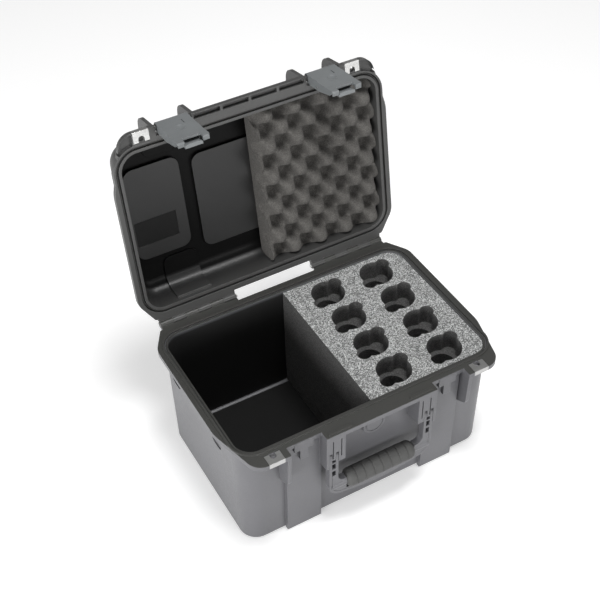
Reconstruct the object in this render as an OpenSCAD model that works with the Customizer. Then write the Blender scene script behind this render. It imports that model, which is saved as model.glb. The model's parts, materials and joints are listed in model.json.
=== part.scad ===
// Moulded watertight case for handheld microphones and their cables.
// Origin: middle of the floor, +X to the right, -Y to the latches and handle, +Z up.
// The lid is drawn closed, then swung open about the hinge pins.

/* [Case] */
// Inside width at the rim
inner_w = 411; // [395:1:425]
// Inside depth at the rim, front to back
inner_d = 259; // [250:1:268]
// Height of the base from the floor to the rim
base_h = 200; // [190:1:215]
// Inside depth of the lid
lid_depth = 51; // [47:1:55]
// Thickness of the moulded walls
wall = 4; // [3.5:0.1:4.5]
// Inside corner radius at the rim
corner_r = 27; // [25:1:31]
// How far each wall leans in from the rim to the floor
draft = 3.4; // [2:0.1:4.5]
// Rounding where the walls meet the floor
floor_r = 6; // [5:0.5:8]
// Rounding where the lid's walls meet its top, outside
crown_r = 25; // [22:1:27]
// Gap between the two rims when closed
rim_gap = 0.4; // [0.3:0.05:0.7]
// How far the lid stands open
lid_open = 99.2; // [90:0.2:105]

/* [Rim] */
// Reach of the rim flange past the inside edge, at the sides
flange_side = 15.8; // [14:0.2:18]
// Reach of the rim flange at the front, in the latch bays
flange_front = 15.4; // [14:0.2:16.4]
// Reach of the rim flange at the back
flange_rear = 17.5; // [16:0.5:19]
// Reach of the handle plate, the hasp ears and the fins at the front
front_reach = 30.5; // [29:0.5:32]
// Thickness of the rim flange
flange_t = 8; // [7:0.5:9]
// Height of the flare that carries the flange
flare_h = 4; // [3:0.5:6]
// Distance from the inside edge to the sealing tongue
tongue_in = 4.8; // [4:0.1:5.5]
// Width of the sealing tongue
tongue_w = 3.2; // [2.8:0.1:3.6]
// Height of the sealing tongue above the rim
tongue_h = 2; // [1.6:0.1:2.2]
// Width of the rounded lip at the inside edge
lip_w = 3.2; // [2.6:0.1:3.6]
// Diameter of the sealing ring
seal_d = 4.3; // [4:0.1:4.8]
// Depth of the groove for the sealing ring
groove_deep = 6.7; // [6.6:0.1:8]
// Thickness of the lid's rim above the groove
groove_roof = 2.6; // [2:0.1:3.5]

/* [Front of the base] */
// Middle of the pressure valve below the rim
valve_down = 42; // [40:1:50]
// Radius of the valve's cap
valve_cap_r = 19; // [16:0.5:20]
// Radius of the valve's threaded stem
valve_r = 7; // [5:0.5:8]
// How far each raised band runs on behind the handle plate
band_lap = 3; // [1:0.5:6]
// Gap between each raised band and the fin beside it
band_gap = 2.5; // [1:0.5:4]
// How far the bands stand out from the wall
band_t = 7; // [5:0.5:8]
// Half width of the plate above the handle
plate_half = 91; // [90:0.5:93]
// Gap between each latch and the fin beside it
fin_gap = 3.5; // [3:0.1:5]
// Thickness of the fins
fin_t = 5.5; // [4:0.5:7]
// Length of the fins on the base, down from the rim
fin_len = 72; // [62:1:80]
// Width of the side pockets under the flange
pocket_w = 30; // [24:1:34]
// Middle of the rear side pocket
pocket_rear = 82; // [76:1:84]
// Middle of the front side pocket
pocket_front = -51; // [-56:1:-46]
// Depth of the side pockets
pocket_t = 2.6; // [1.5:0.1:3]
// Height of the side pockets
pocket_h = 42; // [35:1:46]

/* [Hinges] */
// Hinge axis behind the rear flange edge
hinge_back = 10.8; // [9:0.2:12]
// Outside radius of the knuckles
knuckle_r = 5; // [4.6:0.1:5.6]
// Radius of the hinge pins
pin_r = 2.4; // [2:0.1:2.8]
// Start of each hinge, from the middle
hinge_x0 = 68; // [64:1:74]
// Width of one knuckle
knuckle_w = 21.3; // [20:0.1:21.6]
// Clearance of a pin in its bore
pin_gap = 0.05; // [0.03:0.01:0.08]
// Side clearance between moving pieces
side_gap = 0.4; // [0.35:0.05:0.6]

/* [Latches] */
// Gap between the handle plate and each latch
latch_gap = 4; // [3:0.1:5]
// Width of a latch
latch_w = 48; // [44:0.5:49]
// Thickness of the latch plate
latch_t = 3.2; // [2.8:0.1:3.6]
// Length of a latch below its pin
latch_len = 76; // [72:0.5:80]
// Height of the latch pin above the rim
latch_up = 6.5; // [6:0.1:7.5]
// Latch pin axis behind the outer face of the latch
latch_in = 7; // [6.4:0.1:7.4]
// Radius of the latch pins
latch_pin_r = 2; // [1.8:0.1:2.2]
// How far the free latch stands off its catch
latch_rest = 3.4; // [3.2:0.1:4]
// How far a fastened latch leans in towards its foot
latch_lean = 5; // [4:0.1:5.2]
// Thickness of the latch's side walls
cheek_t = 3; // [2.5:0.1:3.4]
// Half width of the finger notch
notch_half = 14; // [12:0.5:15]
// Height of the finger notch
notch_h = 11; // [9:0.5:12]
// Radius of the trigger pins
trigger_pin_r = 1.5; // [1.3:0.1:1.6]
// Trigger pin below the latch pin
trigger_down = 30; // [28:0.5:32]
// Thickness of the trigger plate
trigger_t = 2.5; // [2.2:0.1:2.7]
// How far the hook reaches under the catch
hook_bite = 1.7; // [1.5:0.1:1.8]
// Wire of the trigger springs
wire_d = 0.9; // [0.7:0.1:1]

/* [Handle] */
// Handle pin below the rim
handle_down = 48.5; // [46:0.5:51]
// Radius of the handle pins
handle_pin_r = 2.5; // [2.2:0.1:2.8]
// Thickness of the handle frame
frame_t = 11; // [9.5:0.5:12]
// Length of the handle from its pin to its lower edge
handle_len = 94; // [88:1:98]
// Outer edge of the handle arms, from the middle
arm_out = 86.6; // [86.2:0.1:86.6]
// Width of each bar of an arm
bar_w = 4.2; // [3.6:0.1:4.4]
// Distance between the two bars of an arm
bar_gap = 6.2; // [5.8:0.1:6.6]
// Length of the rubber grip
grip_len = 116; // [104:1:122]
// Diameter of the rubber grip
grip_d = 29; // [26:0.5:31]
// Diameter of the core inside the grip
core_d = 15; // [12:0.5:17]
// Number of grooves in the grip
grip_grooves = 7; // [5:1:9]

/* [Hasps] */
// Gap between a fin and the hasp clip beside it
hasp_gap = 4; // [3:0.5:6]
// Width of a hasp
hasp_w = 24; // [22:0.5:25]
// Sheet thickness of a hasp
hasp_t = 1.2; // [1:0.1:1.5]
// Radius of the padlock hole
lock_r = 4; // [3.5:0.1:4.4]
// Padlock hole behind the front edge
lock_in = 12.5; // [12:0.1:13]

/* [Foam] */
// Left edge of the microphone foam, from the middle
foam_x0 = -0.5; // [-4:0.5:6]
// Clearance of foam to the walls
foam_gap = 0.6; // [0.3:0.1:1.2]
// Foam top below the rim
foam_down = 3; // [1:0.5:8]
// Thickness of the foam layer with the head sockets
head_layer = 34; // [28:1:45]
// Thickness of the solid foam under the sockets
foot_layer = 26; // [15:1:40]
// Distance between microphones across the case
mic_dx = 88; // [84:1:92]
// Distance between microphones front to back
mic_dy = 62.5; // [61:0.5:63]
// Radius of a head socket
head_r = 26.5; // [24:0.5:28]
// Radius of a body socket
body_r = 19; // [16:0.5:21]
// Half width of the finger slots
slot_half = 11; // [8:0.5:12]
// Length of the finger slots
slot_len = 72; // [62:1:74]
// Direction of the finger slots
slot_turn = 35; // [25:1:45]
// Left edge of the lid foam, from the middle
lid_foam_x0 = 6; // [0:1:12]
// Distance between foam peaks across the lid
egg_dx = 23.4; // [22:0.2:25]
// Shift of the foam peaks towards the hinges
egg_y0 = 14.2; // [0:0.2:25]
// Distance between foam peaks front to back
egg_dy = 51.6; // [49:0.2:53]
// Height of the foam peaks
egg_h = 22; // [16:1:25]
// Thickness of the lid foam under its peaks
egg_base = 14; // [10:1:16]

/* [Hidden] */
$fn = 64;
eps = 0.01;
w2 = inner_w / 2;
d2 = inner_d / 2;
side_x = w2 + flange_side;
bay_y = -(d2 + flange_front);
ear_y = -(d2 + front_reach);
rear_y = d2 + flange_rear;
hinge_y = rear_y + hinge_back;
lid_z = base_h + rim_gap;
lid_t = wall;
lid_top = lid_z + lid_depth + lid_t;
wall_y = -(d2 + wall);
band_y = wall_y - band_t;
front_lean = draft / base_h;
corner_run = [22.3, 86];
rear_run = [21.3, 35];
knuckles = 6;
hinge_x1 = hinge_x0 + knuckles * knuckle_w;
latch_x = plate_half + latch_gap + latch_w / 2;
fin_in = latch_x + latch_w / 2 + fin_gap;
fin_out = fin_in + fin_t;
hasp_x = fin_out + hasp_gap + hasp_w / 2;
band_in = plate_half - band_lap;
band_out = fin_in - band_gap;
valve_z = base_h - valve_down;
fin_top = 3;
case_grey = "#56575a";
lid_grey = "#3c3c3b";
latch_grey = "#75797a";
steel = "#d8d8d8";
rubber = "#4a4a46";
foam_grey = "#6b6b68";

// ---- outlines -------------------------------------------------------------
function unit(v) = v / norm(v);

// The arc that replaces corner p of an outline, with radius p[2]
function corner_arc(before, p, after, steps) =
    let (u = unit([before.x - p.x, before.y - p.y]),
        v = unit([after.x - p.x, after.y - p.y]),
        half = acos(u * v) / 2,
        centre = [p.x, p.y] + unit(u + v) * p[2] / sin(half),
        from = [p.x, p.y] + u * p[2] / tan(half) - centre,
        to = [p.x, p.y] + v * p[2] / tan(half) - centre,
        start = atan2(from.y, from.x),
        turn = atan2(to.y, to.x) - start,
        sweep = turn > 180 ? turn - 360 : turn < -180 ? turn + 360 : turn)
    [for (i = [0 : steps]) centre + p[2] * [cos(start + sweep * i / steps), sin(start + sweep * i / steps)]];

// An outline whose corners [x, y, radius] are rounded
function rounded(pts, steps = 6) =
    [for (i = [0 : len(pts) - 1])
        let (p = pts[i], n = len(pts))
        each (p[2] > 0 ? corner_arc(pts[(i + n - 1) % n], p, pts[(i + 1) % n], steps) : [[p.x, p.y]])];

// The right half of an outline and its mirror image
function both_sides(pts) =
    concat(pts, [for (i = [len(pts) - 1 : -1 : 0]) [-pts[i].x, pts[i].y, pts[i][2]]]);

// Rounded rectangle around the opening, a distance out from its inside edge
module rim_rect(out) {
    r = corner_r + out;
    square([2 * (w2 + out - r), 2 * (d2 + out)], center = true);
    square([2 * (w2 + out), 2 * (d2 + out - r)], center = true);
    for (x = [-1, 1], y = [-1, 1])
        translate([x * (w2 + out - r), y * (d2 + out - r)]) circle(r);
}

module rim_ring(from, to, z0, z1)
    translate([0, 0, z0]) linear_extrude(z1 - z0) difference() {
        rim_rect(to);
        rim_rect(from);
    }

// Outline of the rim flange, shared by the base and the lid
flange_pts = both_sides([
    [plate_half, ear_y, 2], [plate_half, bay_y, 1], [fin_in, bay_y, 1], [fin_in, ear_y, 1],
    [side_x - corner_run.x, ear_y, 24], [side_x, ear_y + corner_run.y, 60],
    [side_x, rear_y - rear_run.y, 30], [side_x - rear_run.x, rear_y, 4]]);

// A profile drawn in Y and Z, made w wide along X and centred
module along_x(w) rotate([90, 0, 90]) translate([0, 0, -w / 2]) linear_extrude(w) children();

// A profile drawn in X and Z, made t thick along Y from y0 backwards
module along_y(y0, t) translate([0, y0 + t, 0]) rotate([90, 0, 0]) linear_extrude(t) children();

module x_cylinder(y, z, r, x0, x1)
    translate([x0, y, z]) rotate([0, 90, 0]) cylinder(r = r, h = x1 - x0);

module both() {
    children();
    mirror([1, 0, 0]) children();
}

// ---- places ---------------------------------------------------------------
// From the closed lid's place to where it stands open
module on_lid()
    translate([0, hinge_y, base_h]) rotate([-lid_open, 0, 0])
        translate([0, -hinge_y, -base_h]) children();

latch_y = ear_y - 1.3 + latch_in;
latch_z = lid_z + latch_up;
latch_face = latch_y - latch_in;
latch_foot = latch_z - latch_len;

// From the latched place to the free one, in which the lid can close
module on_latch(x)
    on_lid() translate([x, latch_y, latch_z]) rotate([latch_lean - latch_rest, 0, 0])
        translate([0, -latch_y, -latch_z]) children();

// ---- base -----------------------------------------------------------------
// Inset of a wall at a height, because the walls lean in towards the floor
function lean(z) = draft * (1 - z / base_h);

// Cross-section of a box with rounded lower edges, half wide at the bottom and top
module leaning_section(half0, half1, z0, r) {
    polygon([[-half0, z0 + r], [half0, z0 + r], [half1, base_h], [-half1, base_h]]);
    translate([r - half0, z0]) square([2 * (half0 - r), r]);
    for (s = [-1, 1]) translate([s * (half0 - r), z0 + r]) circle(r);
}

// Drafted box with rounded corners; out is the distance from the inside edge at the rim
module drafted_box(out, z0, r_floor) {
    cx = w2 - corner_r;
    cy = d2 - corner_r;
    r1 = corner_r + out;
    r0 = r1 - lean(z0 + r_floor);
    along_x(2 * cx) leaning_section(cy + r0, cy + r1, z0, r_floor);
    rotate([0, 0, 90]) along_x(2 * cy) leaning_section(cx + r0, cx + r1, z0, r_floor);
    for (x = [-1, 1], y = [-1, 1]) translate([x * cx, y * cy, z0]) {
        translate([0, 0, r_floor]) cylinder(r1 = r0, r2 = r1, h = base_h - z0 - r_floor);
        rotate_extrude() {
            square([r0 - r_floor, r_floor]);
            translate([r0 - r_floor, r_floor]) intersection() {
                circle(r_floor);
                translate([0, -r_floor]) square(r_floor);
            }
        }
    }
}

// Small steps under the flange where it leaves the wall
module base_flare() {
    under = base_h - flange_t;
    for (i = [0 : 1])
        translate([0, 0, under - flare_h / (i + 1)]) linear_extrude(flare_h / (i + 1) + 1)
            rim_rect(wall + (i + 0.6) * flare_h / 4);
}

module base_flange()
    translate([0, 0, base_h - flange_t]) linear_extrude(flange_t)
        polygon(rounded(flange_pts, 10));

module front_bands() {
    mid = (band_in + band_out) / 2;
    for (s = [-1, 1]) translate([s * mid, 0, 0]) along_x(band_out - band_in)
        polygon(rounded([[wall_y + wall, 0, 0], [band_y + draft, 0, 3],
            [band_y, base_h - flange_t / 2, 0], [wall_y + wall, base_h - flange_t / 2, 0]]));
}

// Fins that guard the latches
module base_fins() {
    foot = base_h - fin_len;
    for (s = [-1, 1]) translate([s * (fin_in + fin_t / 2), 0, 0]) along_x(fin_t)
        polygon(rounded([[wall_y + 1, base_h - 1, 0], [wall_y + 1, foot - 6, 0],
            [band_y - 4, foot, 6], [ear_y + 3, foot + 8, 8], [ear_y, base_h - 1, 0]]));
}

strike_y = band_y - 7.4;
strike_low = latch_z - 44.5;
trigger_y = strike_y - 3.6;
trigger_back = trigger_y + 1.2;
// Front of the catch behind the leaning trigger plate
catch_y = latch_y + (trigger_back - latch_y) * cos(latch_lean)
    + (latch_z - strike_low) * sin(latch_lean) + 0.7;
// Stepped catch under the rim for each latch
module strikes() {
    for (s = [-1, 1]) translate([s * latch_x, 0, 0]) {
        along_y(catch_y, band_y - catch_y + 3)
            polygon([[-15, base_h - 2], [-15, base_h - 18], [-6.3, base_h - 18], [-6.3, strike_low],
                [6.3, strike_low], [6.3, base_h - 18], [15, base_h - 18], [15, base_h - 2]]);
    }
}

// Handle housing: three ribs that hold the pin, closed in front above the arms
handle_y = ear_y + 8.5;
handle_z = base_h - handle_down;
bar1 = [arm_out - bar_w, arm_out];
bar2 = [bar1[0] - bar_gap - bar_w, bar1[0] - bar_gap];
ribs = [[arm_out + side_gap, plate_half], [bar2[1] + side_gap, bar1[0] - side_gap],
    [plate_half - 30, bar2[0] - side_gap]];
rib_feet = [base_h - 69, handle_z - 10, base_h - 60];
panel_z = handle_z + 11.5;
housing_slots = [plate_half - 10.2, plate_half - 23.6];
module handle_housings() both() difference() {
    union() {
        for (i = [0 : 2]) {
            w = ribs[i][1] - ribs[i][0];
            translate([ribs[i][0] + w / 2, 0, 0]) along_x(w)
                polygon(rounded([[wall_y + 1, base_h - 2, 0], [wall_y + 1, rib_feet[i] - (i == 1 ? 0 : 4), 0],
                    [ear_y, rib_feet[i], i == 1 ? 9 : 3], [ear_y, base_h - 2, 0]]));
        }
        translate([plate_half - 30, ear_y, panel_z]) cube([30, 3, base_h - panel_z - 2]);
    }
    for (x = housing_slots)
        translate([x - 0.9, ear_y - 1, panel_z - 12]) cube([1.8, 3.4, base_h - panel_z]);
}

// Flat round seat for the pressure valve on the leaning wall
valve_seat = wall_y - 0.5;
module valve_boss()
    translate([0, valve_seat, valve_z]) rotate([-90, 0, 0]) cylinder(r = valve_cap_r + 0.6, h = 3);

// Raised pads on the plate that enter the lid's front pockets
module plate_pads()
    both() translate([67, (ear_y + bay_y) / 2 + 1, base_h - eps]) linear_extrude(1.6)
        polygon(rounded([[-19, -5.7, 1], [19, -5.7, 1], [19, -0.8, 1], [-19, -0.8, 1]]));

// Ledge that carries the flange back to the knuckles
module hinge_ledge(rim, up)
    both() translate([hinge_x0, rear_y - 2, up > 0 ? rim : rim - flange_t])
        cube([knuckles * knuckle_w, hinge_y - knuckle_r - 0.8 - rear_y + 2, flange_t]);

// Knuckles with the webs that carry them; first is the number of the innermost one
module knuckle_row(first, rim, up) {
    both() for (i = [first : 2 : knuckles - 1]) {
        x0 = hinge_x0 + i * knuckle_w + (i == 0 ? 0 : side_gap / 2);
        x1 = hinge_x0 + (i + 1) * knuckle_w - (i == knuckles - 1 ? 0 : side_gap / 2);
        x_cylinder(hinge_y, base_h, knuckle_r, x0, x1);
        translate([(x0 + x1) / 2, 0, 0]) along_x(x1 - x0)
            polygon([[rear_y - 2, rim], [rear_y - 2, rim + up * flange_t],
                [hinge_y + up * 0, base_h + up * knuckle_r], [hinge_y, rim]]);
    }
}

module hinge_bores()
    both() x_cylinder(hinge_y, base_h, pin_r + pin_gap, hinge_x0 - 5, hinge_x1 - 2);

module padlock_hole()
    both() translate([hasp_x, ear_y + lock_in, 0]) cylinder(r = lock_r, h = lid_top);

// Space that a hasp clip takes on the flange between two heights
module hasp_seat(z0, z1)
    both() {
        for (z = [z0 - eps, z1 - hasp_t - 0.1])
            translate([hasp_x - hasp_w / 2 - 0.15, ear_y - 1, z])
                cube([hasp_w + 0.3, 19, hasp_t + 0.1 + eps]);
        translate([hasp_x - hasp_w / 2 - 0.15, ear_y - 1, z0 - eps])
            cube([hasp_w + 0.3, hasp_t + 1.1, z1 - z0 + 2 * eps]);
    }

module base_shell() color(case_grey) difference() {
    union() {
        drafted_box(wall, 0, floor_r);
        base_flare();
        base_flange();
        rim_ring(tongue_in, tongue_in + tongue_w, base_h - 1, base_h + tongue_h);
        front_bands();
        base_fins();
        strikes();
        handle_housings();
        valve_boss();
        plate_pads();
        hinge_ledge(base_h, -1);
        knuckle_row(1, base_h, -1);
    }
    translate([0, 0, eps]) drafted_box(0, wall, floor_r);
    rim_rect_cut();
    rim_ring(lip_w, tongue_in, base_h - 1.6, base_h + 1);
    for (s = [-1, 1], y = [pocket_front, pocket_rear])
        translate([s * (w2 + wall), y, base_h - flange_t - flare_h - pocket_h]) side_pocket();
    hinge_bores();
    padlock_hole();
    hasp_seat(base_h - flange_t, base_h);
    both() x_cylinder(handle_y, handle_z, handle_pin_r + pin_gap, ribs[2][0] + 2, plate_half - 2);
    translate([0, wall_y - 2, valve_z]) rotate([-90, 0, 0]) cylinder(r = valve_r + pin_gap, h = wall + 12);
}

// Clears the cavity's last sliver at the rim
module rim_rect_cut() translate([0, 0, base_h - 0.2]) linear_extrude(1) rim_rect(0);

// Recess in a side wall with rounded lower corners
module side_pocket()
    rotate([90, 0, 90]) translate([0, 0, -pocket_t]) linear_extrude(2 * pocket_t)
        polygon(rounded([[-pocket_w / 2, 0, 9], [pocket_w / 2, 0, 9],
            [pocket_w / 2, pocket_h, 0], [-pocket_w / 2, pocket_h, 0]]));

// ---- lid ------------------------------------------------------------------
// Cross-section of a tray with rounded upper edges
module tray_section(half, top, r) {
    translate([-half, lid_z]) square([2 * half, top - r - lid_z]);
    translate([r - half, lid_z]) square([2 * (half - r), top - lid_z]);
    for (s = [-1, 1]) translate([s * (half - r), top - r]) circle(r);
}

// Rounded tray shape from the rim up; out grows it, deep is its height above the rim
module tray(out, deep, r_top) {
    cx = w2 - corner_r;
    cy = d2 - corner_r;
    r = corner_r + out;
    along_x(2 * cx) tray_section(cy + r, lid_z + deep, r_top);
    rotate([0, 0, 90]) along_x(2 * cy) tray_section(cx + r, lid_z + deep, r_top);
    for (x = [-1, 1], y = [-1, 1]) translate([x * cx, y * cy, lid_z]) rotate_extrude() {
        square([r, deep - r_top]);
        translate([0, deep - r_top - eps]) square([r - r_top, r_top + eps]);
        translate([r - r_top, deep - r_top]) intersection() {
            circle(r_top);
            square(r_top);
        }
    }
}

inner_crown = crown_r - lid_t;
groove_out = tongue_in + tongue_w + 0.6;
groove_in = tongue_in - 0.6;

module lid_fins() {
    both() for (x = [plate_half - fin_t / 2, fin_in + fin_t / 2]) translate([x, 0, 0]) along_x(fin_t)
        polygon(rounded([[ear_y, lid_z, 0], [ear_y + 2.5, lid_top - 3.5, 18],
            [wall_y + 3, lid_top + fin_top - 1.5, 30], [wall_y + 20, lid_top + fin_top, 0],
            [d2 - 20, lid_top + fin_top, 3], [d2 - 26, lid_top - 1, 0], [ear_y + 52, lid_top - 1, 0],
            [wall_y + 1, lid_top - crown_r, 0], [wall_y + 1, lid_z, 0]]));
}

// Short ribs on the lid's front and side walls
module lid_ribs() {
    both() for (rib = [[63.5, wall_y - 16], [latch_x, latch_y + 6.4]]) translate([rib[0], 0, 0]) along_x(8)
        polygon(rounded([[wall_y + 4, lid_z + flange_t - 1, 0], [rib[1], lid_z + flange_t - 1, 0],
            [rib[1] + 2.6, lid_z + 34, 6], [wall_y + 4, lid_z + 44, 0]]));
    for (y = [pocket_front, pocket_rear])
        both() translate([w2, y + 4, 0]) rotate([90, 0, 0]) linear_extrude(8)
            polygon(rounded([[wall - 3, lid_z + flange_t - 1, 0], [wall + 10, lid_z + flange_t - 1, 0],
                [wall + 8.5, lid_z + 18, 4], [wall - 3, lid_z + 28, 0]]));
}

module latch_ears()
    both() for (x = [[plate_half - 1, latch_x - latch_w / 2 - side_gap],
            [latch_x + latch_w / 2 + side_gap, fin_in + 1]])
        x_cylinder(latch_y, latch_z, 4.6, x[0], x[1]);

// Pockets in the underside of the lid's front plate
module plate_pockets() {
    pitch = (plate_half - 1) / 2;
    for (i = [-2 : 1]) translate([(i + 0.5) * pitch, (ear_y + bay_y) / 2 + 0.4, lid_z - 1])
        linear_extrude(flange_t - 0.6)
            polygon(rounded([[2 - pitch / 2, -6.2, 1], [pitch / 2 - 2, -6.2, 1],
                [pitch / 2 - 2, 1, 1], [2 - pitch / 2, 1, 1]]));
}

// Hollows in the lid's underside, outside the seal at the front corners
module corner_pockets() {
    rib = 2.6;
    x0 = hasp_x + hasp_w / 2 + 1.5;
    arc_r = corner_r + groove_out + rib;
    arc = [for (a = [-50 : -7 : -85])
        [w2 - corner_r + arc_r * cos(a), corner_r - d2 + arc_r * sin(a), 0]];
    both() translate([0, 0, lid_z - 1]) linear_extrude(flange_t - 1)
        polygon(rounded(concat([[x0, ear_y + rib, 1], [side_x - corner_run.x - 1, ear_y + rib, 18],
            [side_x - corner_run.x + 7, ear_y + 26, 1]], arc)));
}

// Raised panels inside the lid, which are sunk outside
panel_t = 6;
panels = [[-193, -106, -82, 69, 15], [-86, 86, -74, 84, 15], [106, 193, -82, 69, 15]];
module panel(p, z0, t, grow)
    translate([0, 0, z0]) linear_extrude(t)
        polygon(rounded([[p[0] - grow, p[2] - grow, p[4]], [p[1] + grow, p[2] - grow, p[4]],
            [p[1] + grow, p[3] + grow, p[4]], [p[0] - grow, p[3] + grow, p[4]]]));

// Tongue-shaped pads that run from the lid's front and rear walls onto its ceiling
tab_x = [-156, -100];
tab_y = d2 - 50;
tab_t = 3.5;
module lid_tabs() intersection() {
    translate([0, 0, lid_z + 8]) linear_extrude(lid_depth) for (end = [[1, tab_y], [-1, tab_y + 12]])
        polygon(rounded([[tab_x[0], end[0] * (d2 + 3), 0], [tab_x[0], end[0] * end[1], 12],
            [tab_x[1], end[0] * end[1], 12], [tab_x[1], end[0] * (d2 + 3), 0]]));
    difference() {
        tray(2, lid_depth + 2, inner_crown + 2);
        tray(-tab_t, lid_depth - tab_t, inner_crown - tab_t);
    }
}

module lid_shell() color(lid_grey) on_lid() difference() {
    union() {
        difference() {
            union() {
                tray(lid_t, lid_depth + lid_t, crown_r);
                translate([0, 0, lid_z]) linear_extrude(flange_t) polygon(rounded(flange_pts, 10));
                rim_ring(-0.5, groove_out + 3, lid_z, lid_z + groove_deep + groove_roof);
                lid_fins();
                lid_ribs();
            }
            translate([0, 0, -eps]) tray(0, lid_depth, inner_crown);
            for (p = panels) panel(p, lid_top - 2, 3, -7);
        }
        for (p = panels) panel(p, lid_z + lid_depth - panel_t, panel_t + 1, 0);
        lid_tabs();
        latch_ears();
        hinge_ledge(lid_z, 1);
        knuckle_row(0, lid_z, 1);
    }
    translate([-190, 4, lid_z + lid_depth - panel_t - 1]) cube([67, 41, 2.4]);
    rim_ring(groove_in, groove_out, lid_z - 1, lid_z + groove_deep);
    plate_pockets();
    corner_pockets();
    hinge_bores();
    padlock_hole();
    hasp_seat(lid_z, lid_z + flange_t);
    both() x_cylinder(latch_y, latch_z, latch_pin_r + pin_gap, plate_half - fin_t + 1, fin_out - 1);
}

module lid_seal() color("#3a3a38") on_lid() {
    mid = (groove_in + groove_out) / 2;
    r = corner_r + mid;
    z = lid_z + groove_deep - seal_d / 2 - 0.1;
    translate([0, 0, z]) {
        for (a = [0 : 3]) rotate([0, 0, 90 * a]) {
            long = a % 2 == 0 ? w2 : d2;
            short = a % 2 == 0 ? d2 : w2;
            translate([long + mid - r, short + mid - r, 0])
                rotate_extrude(angle = 90) translate([r, 0]) circle(d = seal_d, $fn = 32);
            translate([long + mid, r - short - mid, 0]) rotate([-90, 0, 0])
                cylinder(d = seal_d, h = 2 * (short + mid - r), $fn = 32);
        }
    }
}

// ---- hinge pins and hasps -------------------------------------------------
module hinge_pin(s) color(steel)
    mirror([s < 0 ? 1 : 0, 0, 0]) x_cylinder(hinge_y, base_h, pin_r, hinge_x0 - 2.4, hinge_x1 - 2.5);

// Folded sheet clip around the flange, notched for the padlock
module hasp(s, z0, z1) color(steel) difference() {
    translate([s * hasp_x, ear_y, 0]) difference() {
        translate([-hasp_w / 2, 0, z0]) cube([hasp_w, 17, z1 - z0]);
        translate([-hasp_w, hasp_t, z0 + hasp_t]) cube([2 * hasp_w, 20, z1 - z0 - 2 * hasp_t]);
    }
    translate([s * hasp_x, ear_y + lock_in, z0 - 1]) cylinder(r = lock_r + 0.6, h = z1 - z0 + 2);
    translate([s * hasp_x - lock_r - 0.6, ear_y + lock_in, z0 - 1])
        cube([2 * lock_r + 1.2, 20, z1 - z0 + 2]);
}

// ---- latches --------------------------------------------------------------
trigger_z = latch_z - trigger_down;
hook_down = (latch_z - strike_low + 0.4 + (strike_y - latch_y) * sin(latch_lean)) / cos(latch_lean);
hook_y = latch_y + (catch_y + hook_bite - latch_y - hook_down * sin(latch_lean)) / cos(latch_lean);

module latch_shape() {
    half = latch_w / 2;
    inner = latch_face + latch_t;
    foot_kick = 1.2;
    difference() {
        union() {
            x_cylinder(latch_y, latch_z, 5.2, -half, half);
            difference() {
                intersection() {
                    along_y(latch_face - 3, latch_t + 6)
                        polygon(rounded([[-half, latch_foot, 3.5], [half, latch_foot, 3.5],
                            [half, latch_z + 1, 0], [-half, latch_z + 1, 0]]));
                    along_x(latch_w + 2) polygon([[latch_face, latch_z + 2], [inner, latch_z + 2],
                        [inner, latch_foot + 16], [inner - foot_kick, latch_foot - 1],
                        [latch_face - foot_kick, latch_foot - 1], [latch_face, latch_foot + 17]]);
                }
                along_y(latch_face - 4, latch_t + 8)
                    polygon(rounded([[-notch_half, latch_foot - 1, 0], [notch_half, latch_foot - 1, 0],
                        [notch_half, latch_foot + notch_h, 2], [-notch_half, latch_foot + notch_h, 2]]));
            }
            along_x(latch_w) polygon(rounded([[latch_face, latch_z, 0], [latch_face, latch_z + 5.2, 5],
                [latch_y, latch_z + 5.2, 0], [latch_y, latch_z, 0]]));
            for (s = [-1, 1]) translate([s * (half - cheek_t / 2), 0, 0]) along_x(cheek_t)
                polygon(rounded([[inner - 1, latch_z, 0], [latch_y + 4, latch_z - 1, 0],
                    [strike_y + 1, latch_z - 9, 3], [strike_y + 1, trigger_z - 5, 4],
                    [inner + 5, latch_foot + 9, 5], [inner - 1, latch_foot + 5, 0]]));
            for (s = [-1, 1]) translate([s * (half + notch_half - 1) / 2, 0, 0])
                along_x(half - notch_half - 1)
                    polygon(rounded([[inner - 2, latch_foot + 0.6, 0], [inner + 4.2, latch_foot + 1.4, 1],
                        [inner + 4.2, latch_foot + 4, 1], [inner - 2, latch_foot + 5, 0]]));
        }
        x_cylinder(latch_y, latch_z, latch_pin_r + pin_gap, -half - 1, half + 1);
        x_cylinder(trigger_y, trigger_z, trigger_pin_r + pin_gap, -half - 1, half + 1);
        translate([0, latch_face - 11.8, latch_z - 33]) sphere(14);
        along_y(latch_face - 1, 2.4) translate([9, latch_z - 24]) square([1.4, 11]);
    }
}

module latch(x) color(latch_grey) on_latch(x) latch_shape();

module latch_pin(s) color(steel) on_lid() mirror([s < 0 ? 1 : 0, 0, 0])
    x_cylinder(latch_y, latch_z, latch_pin_r, plate_half - fin_t + 1.4, fin_out - 1.4);

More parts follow.
